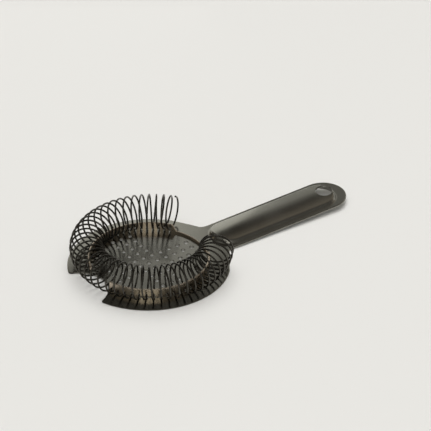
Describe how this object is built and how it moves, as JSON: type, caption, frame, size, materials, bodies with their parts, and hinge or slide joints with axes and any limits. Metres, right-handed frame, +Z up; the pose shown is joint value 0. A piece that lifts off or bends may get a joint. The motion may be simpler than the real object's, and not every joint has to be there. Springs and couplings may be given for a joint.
{
  "type": "hawthorne strainer",
  "caption": "Flat perforated steel plate with a raised handle and hanging hole, ringed by a springy wire coil that is squeezed inward to seat in a mixing tin.",
  "frame": {"origin": "on the surface that the strainer stands on, under the middle of its bounding box", "axes": "+X along the handle, away from the plate; +Z up, on the coil's side; +Y completes the right-handed frame"},
  "size_m": [0.1542, 0.0806, 0.0186],
  "materials": {
    "plate_steel": "satin gunmetal, worn smooth",
    "disc_steel": "satin gunmetal, half mirror",
    "handle_steel": "brushed along its length",
    "wire_steel": "dark drawn wire, smooth"
  },
  "bodies": {
    "plate": {"rim_plate": "plate_steel", "perforated_disc": "disc_steel", "coil_collar": "plate_steel", "handle": "handle_steel"},
    "coil_01": {"coil_section_01": "wire_steel"},
    "coil_02": {"coil_section_02": "wire_steel"},
    "coil_03": {"coil_section_03": "wire_steel"},
    "coil_04": {"coil_section_04": "wire_steel"},
    "coil_05": {"coil_section_05": "wire_steel"},
    "coil_06": {"coil_section_06": "wire_steel"},
    "coil_07": {"coil_section_07": "wire_steel"},
    "coil_08": {"coil_section_08": "wire_steel"},
    "coil_09": {"coil_section_09": "wire_steel"},
    "coil_10": {"coil_section_10": "wire_steel"},
    "coil_11": {"coil_section_11": "wire_steel"},
    "coil_12": {"coil_section_12": "wire_steel"},
    "coil_13": {"coil_section_13": "wire_steel"},
    "coil_14": {"coil_section_14": "wire_steel"},
    "coil_15": {"coil_section_15": "wire_steel"}
  },
  "joints": [
    {"name": "coil_squeeze", "type": "hinge", "parent": "plate", "child": "coil_08", "pos_m": [-0.0685, -0.00055, 0.00131], "axis": [-0.0175, 0.9998, 0], "range_deg": [0, 12], "stiffness_Nm_per_rad": 0.02},
    {"name": "coil_lean_01", "type": "hinge", "parent": "plate", "child": "coil_01", "pos_m": [-0.01507, 0.02307, 0.00131], "axis": [0.7278, -0.6858, 0], "range_deg": [0, 12], "stiffness_Nm_per_rad": 0.02},
    {"name": "coil_lean_02", "type": "hinge", "parent": "plate", "child": "coil_02", "pos_m": [-0.02303, 0.02855, 0.00131], "axis": [0.9007, -0.4345, 0], "range_deg": [0, 12], "stiffness_Nm_per_rad": 0.02},
    {"name": "coil_lean_03", "type": "hinge", "parent": "plate", "child": "coil_03", "pos_m": [-0.0325, 0.03141, 0.00131], "axis": [0.9908, -0.1357, 0], "range_deg": [0, 12], "stiffness_Nm_per_rad": 0.02},
    {"name": "coil_lean_04", "type": "hinge", "parent": "plate", "child": "coil_04", "pos_m": [-0.04272, 0.03114, 0.00131], "axis": [0.9824, 0.1866, 0], "range_deg": [0, 12], "stiffness_Nm_per_rad": 0.02},
    {"name": "coil_lean_05", "type": "hinge", "parent": "plate", "child": "coil_05", "pos_m": [-0.05265, 0.02745, 0.00131], "axis": [0.8661, 0.4999, 0], "range_deg": [0, 12], "stiffness_Nm_per_rad": 0.02},
    {"name": "coil_lean_06", "type": "hinge", "parent": "plate", "child": "coil_06", "pos_m": [-0.06105, 0.02042, 0.00131], "axis": [0.6442, 0.7649, 0], "range_deg": [0, 12], "stiffness_Nm_per_rad": 0.02},
    {"name": "coil_lean_07", "type": "hinge", "parent": "plate", "child": "coil_07", "pos_m": [-0.06665, 0.01068, 0.00131], "axis": [0.337, 0.9415, 0], "range_deg": [0, 12], "stiffness_Nm_per_rad": 0.02},
    {"name": "coil_lean_09", "type": "hinge", "parent": "plate", "child": "coil_09", "pos_m": [-0.06626, -0.01172, 0.00131], "axis": [-0.3696, 0.9292, 0], "range_deg": [0, 12], "stiffness_Nm_per_rad": 0.02},
    {"name": "coil_lean_10", "type": "hinge", "parent": "plate", "child": "coil_10", "pos_m": [-0.06032, -0.02125, 0.00131], "axis": [-0.6705, 0.7419, 0], "range_deg": [0, 12], "stiffness_Nm_per_rad": 0.02},
    {"name": "coil_lean_11", "type": "hinge", "parent": "plate", "child": "coil_11", "pos_m": [-0.05169, -0.02799, 0.00131], "axis": [-0.883, 0.4694, 0], "range_deg": [0, 12], "stiffness_Nm_per_rad": 0.02},
    {"name": "coil_lean_12", "type": "hinge", "parent": "plate", "child": "coil_12", "pos_m": [-0.04163, -0.03133, 0.00131], "axis": [-0.9883, 0.1522, 0], "range_deg": [0, 12], "stiffness_Nm_per_rad": 0.02},
    {"name": "coil_lean_13", "type": "hinge", "parent": "plate", "child": "coil_13", "pos_m": [-0.03141, -0.03124, 0.00131], "axis": [-0.9854, -0.1702, 0], "range_deg": [0, 12], "stiffness_Nm_per_rad": 0.02},
    {"name": "coil_lean_14", "type": "hinge", "parent": "plate", "child": "coil_14", "pos_m": [-0.02204, -0.02805, 0.00131], "axis": [-0.885, -0.4656, 0], "range_deg": [0, 12], "stiffness_Nm_per_rad": 0.02},
    {"name": "coil_lean_15", "type": "hinge", "parent": "plate", "child": "coil_15", "pos_m": [-0.01427, -0.0223, 0.00131], "axis": [-0.7034, -0.7108, 0], "range_deg": [0, 12], "stiffness_Nm_per_rad": 0.02}
  ],
  "couplings": [
    {"joint": "coil_lean_01", "follows": "coil_squeeze", "ratio": 1},
    {"joint": "coil_lean_02", "follows": "coil_squeeze", "ratio": 1},
    {"joint": "coil_lean_03", "follows": "coil_squeeze", "ratio": 1},
    {"joint": "coil_lean_04", "follows": "coil_squeeze", "ratio": 1},
    {"joint": "coil_lean_05", "follows": "coil_squeeze", "ratio": 1},
    {"joint": "coil_lean_06", "follows": "coil_squeeze", "ratio": 1},
    {"joint": "coil_lean_07", "follows": "coil_squeeze", "ratio": 1},
    {"joint": "coil_lean_09", "follows": "coil_squeeze", "ratio": 1},
    {"joint": "coil_lean_10", "follows": "coil_squeeze", "ratio": 1},
    {"joint": "coil_lean_11", "follows": "coil_squeeze", "ratio": 1},
    {"joint": "coil_lean_12", "follows": "coil_squeeze", "ratio": 1},
    {"joint": "coil_lean_13", "follows": "coil_squeeze", "ratio": 1},
    {"joint": "coil_lean_14", "follows": "coil_squeeze", "ratio": 1},
    {"joint": "coil_lean_15", "follows": "coil_squeeze", "ratio": 1}
  ]
}
